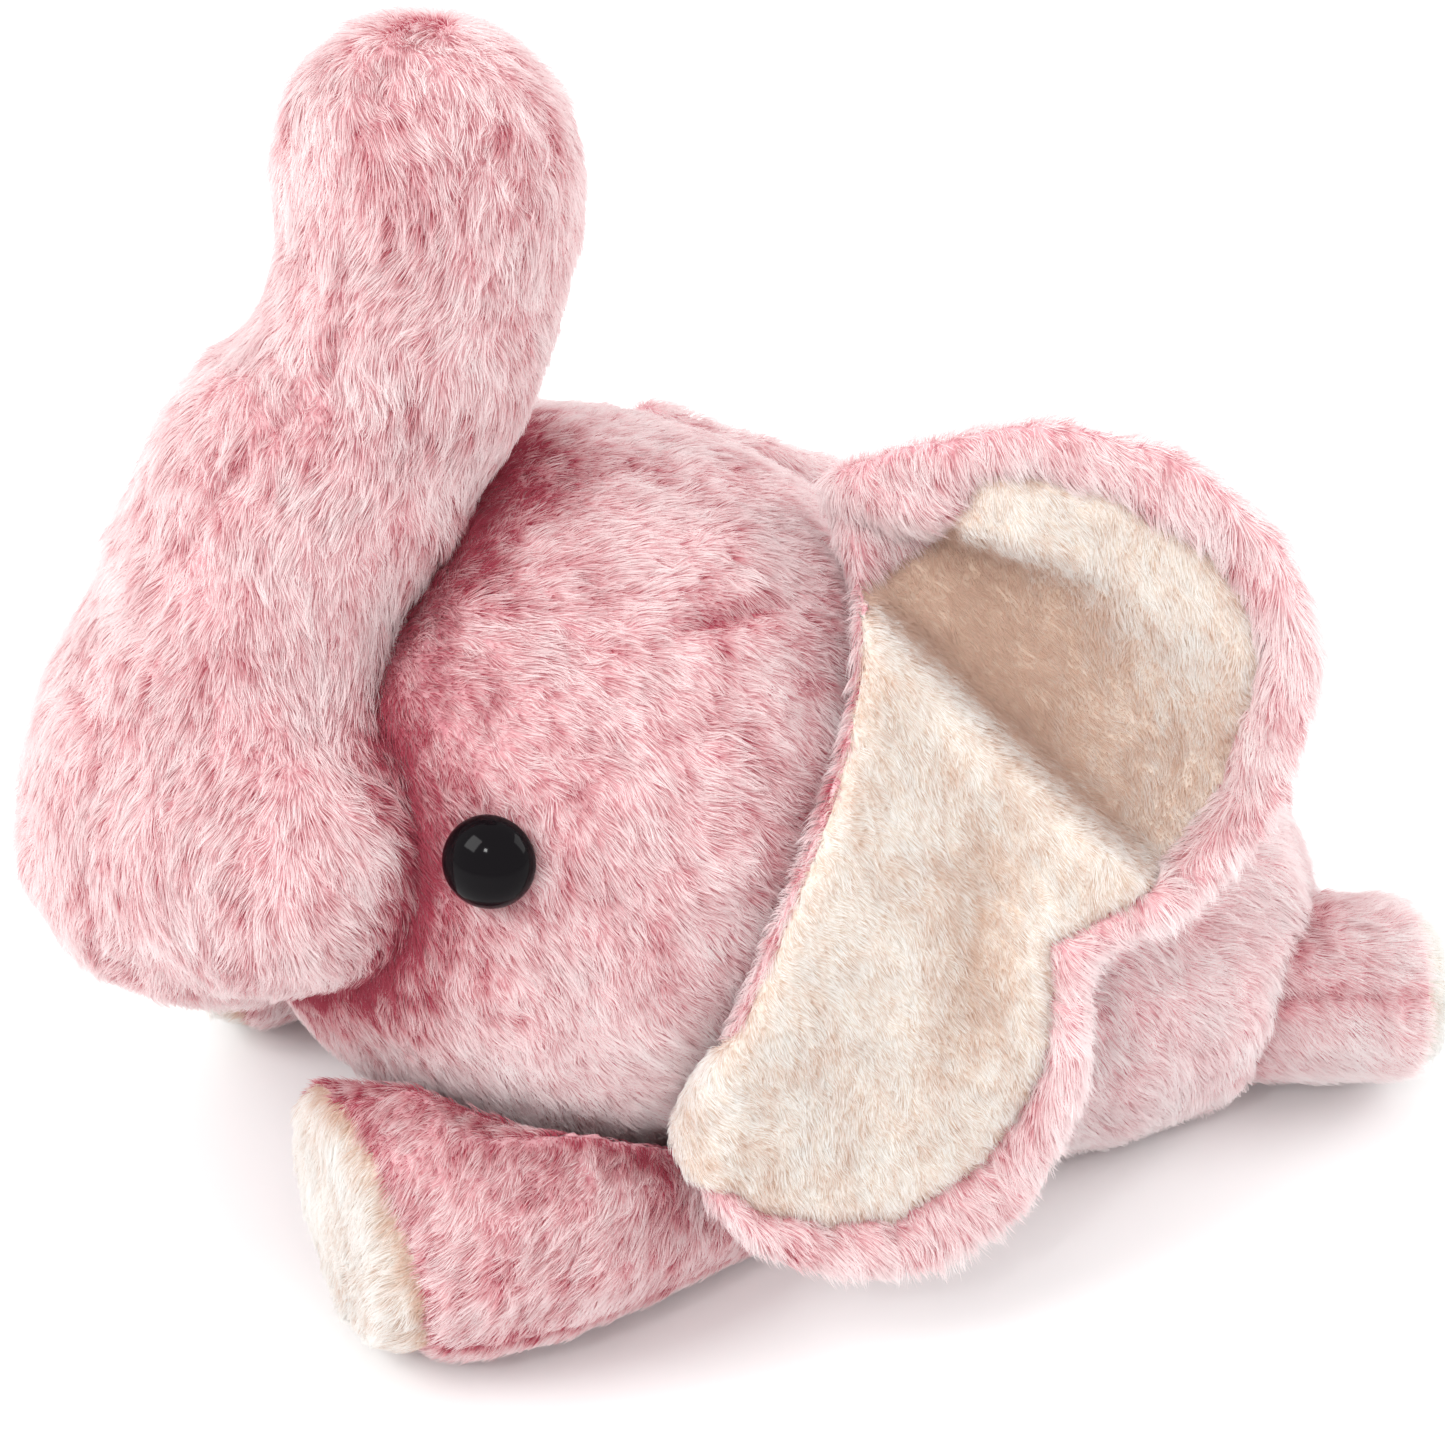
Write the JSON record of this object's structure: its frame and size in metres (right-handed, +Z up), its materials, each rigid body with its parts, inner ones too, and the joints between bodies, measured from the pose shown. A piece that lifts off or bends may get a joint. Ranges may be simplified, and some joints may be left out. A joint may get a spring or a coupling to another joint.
{
  "type": "stuffed toy elephant",
  "caption": "Plush elephant lying on its belly, with its trunk curled up over its forehead, large lined ears, round safety eyes, stubby legs and a thin tasselled tail.",
  "frame": {"origin": "bottom centre of the bounding box, on the floor the toy lies on", "axes": "-Y the way the elephant faces, +X its left side, +Z up"},
  "size_m": [0.2987, 0.4196, 0.3428],
  "materials": {
    "pink_fur": "long soft pile",
    "cream_fur": "short soft pile",
    "stuffing": "loose polyester fibre",
    "eye_black": "high gloss",
    "washer_white": "moulded"
  },
  "bodies": {
    "body": {"body_panel_left": "pink_fur", "body_panel_right": "pink_fur", "belly_gusset": "pink_fur", "body_stuffing": "stuffing"},
    "head": {"head_panel_left": "pink_fur", "head_panel_right": "pink_fur", "head_top_gusset": "pink_fur", "chin_gusset": "pink_fur", "head_stuffing": "stuffing", "eye_left": "eye_black", "eye_right": "eye_black", "eye_washer_left": "washer_white", "eye_washer_right": "washer_white"},
    "trunk_lower": {"trunk_lower_panel_left": "pink_fur", "trunk_lower_panel_right": "pink_fur", "trunk_lower_gusset": "pink_fur", "trunk_lower_stuffing": "stuffing"},
    "trunk_upper": {"trunk_upper_panel_left": "pink_fur", "trunk_upper_panel_right": "pink_fur", "trunk_upper_gusset": "pink_fur", "trunk_upper_stuffing": "stuffing"},
    "ear_left": {"ear_left_backing": "pink_fur", "ear_left_wadding": "stuffing", "ear_left_lining": "cream_fur"},
    "foreleg_left": {"foreleg_left_upper_panel": "pink_fur", "foreleg_left_lower_panel": "pink_fur", "foreleg_left_sole": "cream_fur", "foreleg_left_stuffing": "stuffing"},
    "hind_leg_left": {"hind_leg_left_upper_panel": "pink_fur", "hind_leg_left_lower_panel": "pink_fur", "hind_leg_left_sole": "cream_fur", "hind_leg_left_stuffing": "stuffing"},
    "ear_right": {"ear_right_backing": "pink_fur", "ear_right_wadding": "stuffing", "ear_right_lining": "cream_fur"},
    "foreleg_right": {"foreleg_right_upper_panel": "pink_fur", "foreleg_right_lower_panel": "pink_fur", "foreleg_right_sole": "cream_fur", "foreleg_right_stuffing": "stuffing"},
    "hind_leg_right": {"hind_leg_right_upper_panel": "pink_fur", "hind_leg_right_lower_panel": "pink_fur", "hind_leg_right_sole": "cream_fur", "hind_leg_right_stuffing": "stuffing"},
    "tail": {"tail": "pink_fur"}
  },
  "joints": [
    {"name": "head_nod", "type": "hinge", "parent": "body", "child": "head", "pos_m": [0, -0.044, 0.122], "axis": [1, 0, 0], "range_deg": [-6, 8], "stiffness_Nm_per_rad": 6},
    {"name": "trunk_lift", "type": "hinge", "parent": "head", "child": "trunk_lower", "pos_m": [0, -0.153, 0.139], "axis": [1, 0, 0], "range_deg": [0, 30], "stiffness_Nm_per_rad": 2.5},
    {"name": "trunk_bend", "type": "hinge", "parent": "trunk_lower", "child": "trunk_upper", "pos_m": [0, -0.093, 0.252], "axis": [1, 0, 0], "range_deg": [-8, 25], "stiffness_Nm_per_rad": 1},
    {"name": "ear_left_flap", "type": "hinge", "parent": "head", "child": "ear_left", "pos_m": [0.0725, -0.0295, 0.1535], "axis": [0.439, -0.449, -0.7783], "range_deg": [-6, 25], "stiffness_Nm_per_rad": 0.6},
    {"name": "ear_right_flap", "type": "hinge", "parent": "head", "child": "ear_right", "pos_m": [-0.0725, -0.0295, 0.1535], "axis": [0.439, 0.449, 0.7783], "range_deg": [-6, 25], "stiffness_Nm_per_rad": 0.6},
    {"name": "foreleg_left_swing", "type": "hinge", "parent": "body", "child": "foreleg_left", "pos_m": [0.056, 0.038, 0.027], "axis": [0, 0, 1], "range_deg": [0, 5], "stiffness_Nm_per_rad": 1},
    {"name": "foreleg_right_swing", "type": "hinge", "parent": "body", "child": "foreleg_right", "pos_m": [-0.056, 0.038, 0.027], "axis": [0, 0, -1], "range_deg": [0, 5], "stiffness_Nm_per_rad": 1},
    {"name": "hind_leg_left_swing", "type": "hinge", "parent": "body", "child": "hind_leg_left", "pos_m": [0.066, 0.142, 0.035], "axis": [0, 0, 1], "range_deg": [-20, 6], "stiffness_Nm_per_rad": 1},
    {"name": "hind_leg_right_swing", "type": "hinge", "parent": "body", "child": "hind_leg_right", "pos_m": [-0.066, 0.142, 0.035], "axis": [0, 0, -1], "range_deg": [-20, 6], "stiffness_Nm_per_rad": 1},
    {"name": "tail_swing", "type": "hinge", "parent": "body", "child": "tail", "pos_m": [0, 0.188, 0.086], "axis": [0, 1, 0], "range_deg": [-35, 35], "stiffness_Nm_per_rad": 0.05}
  ]
}
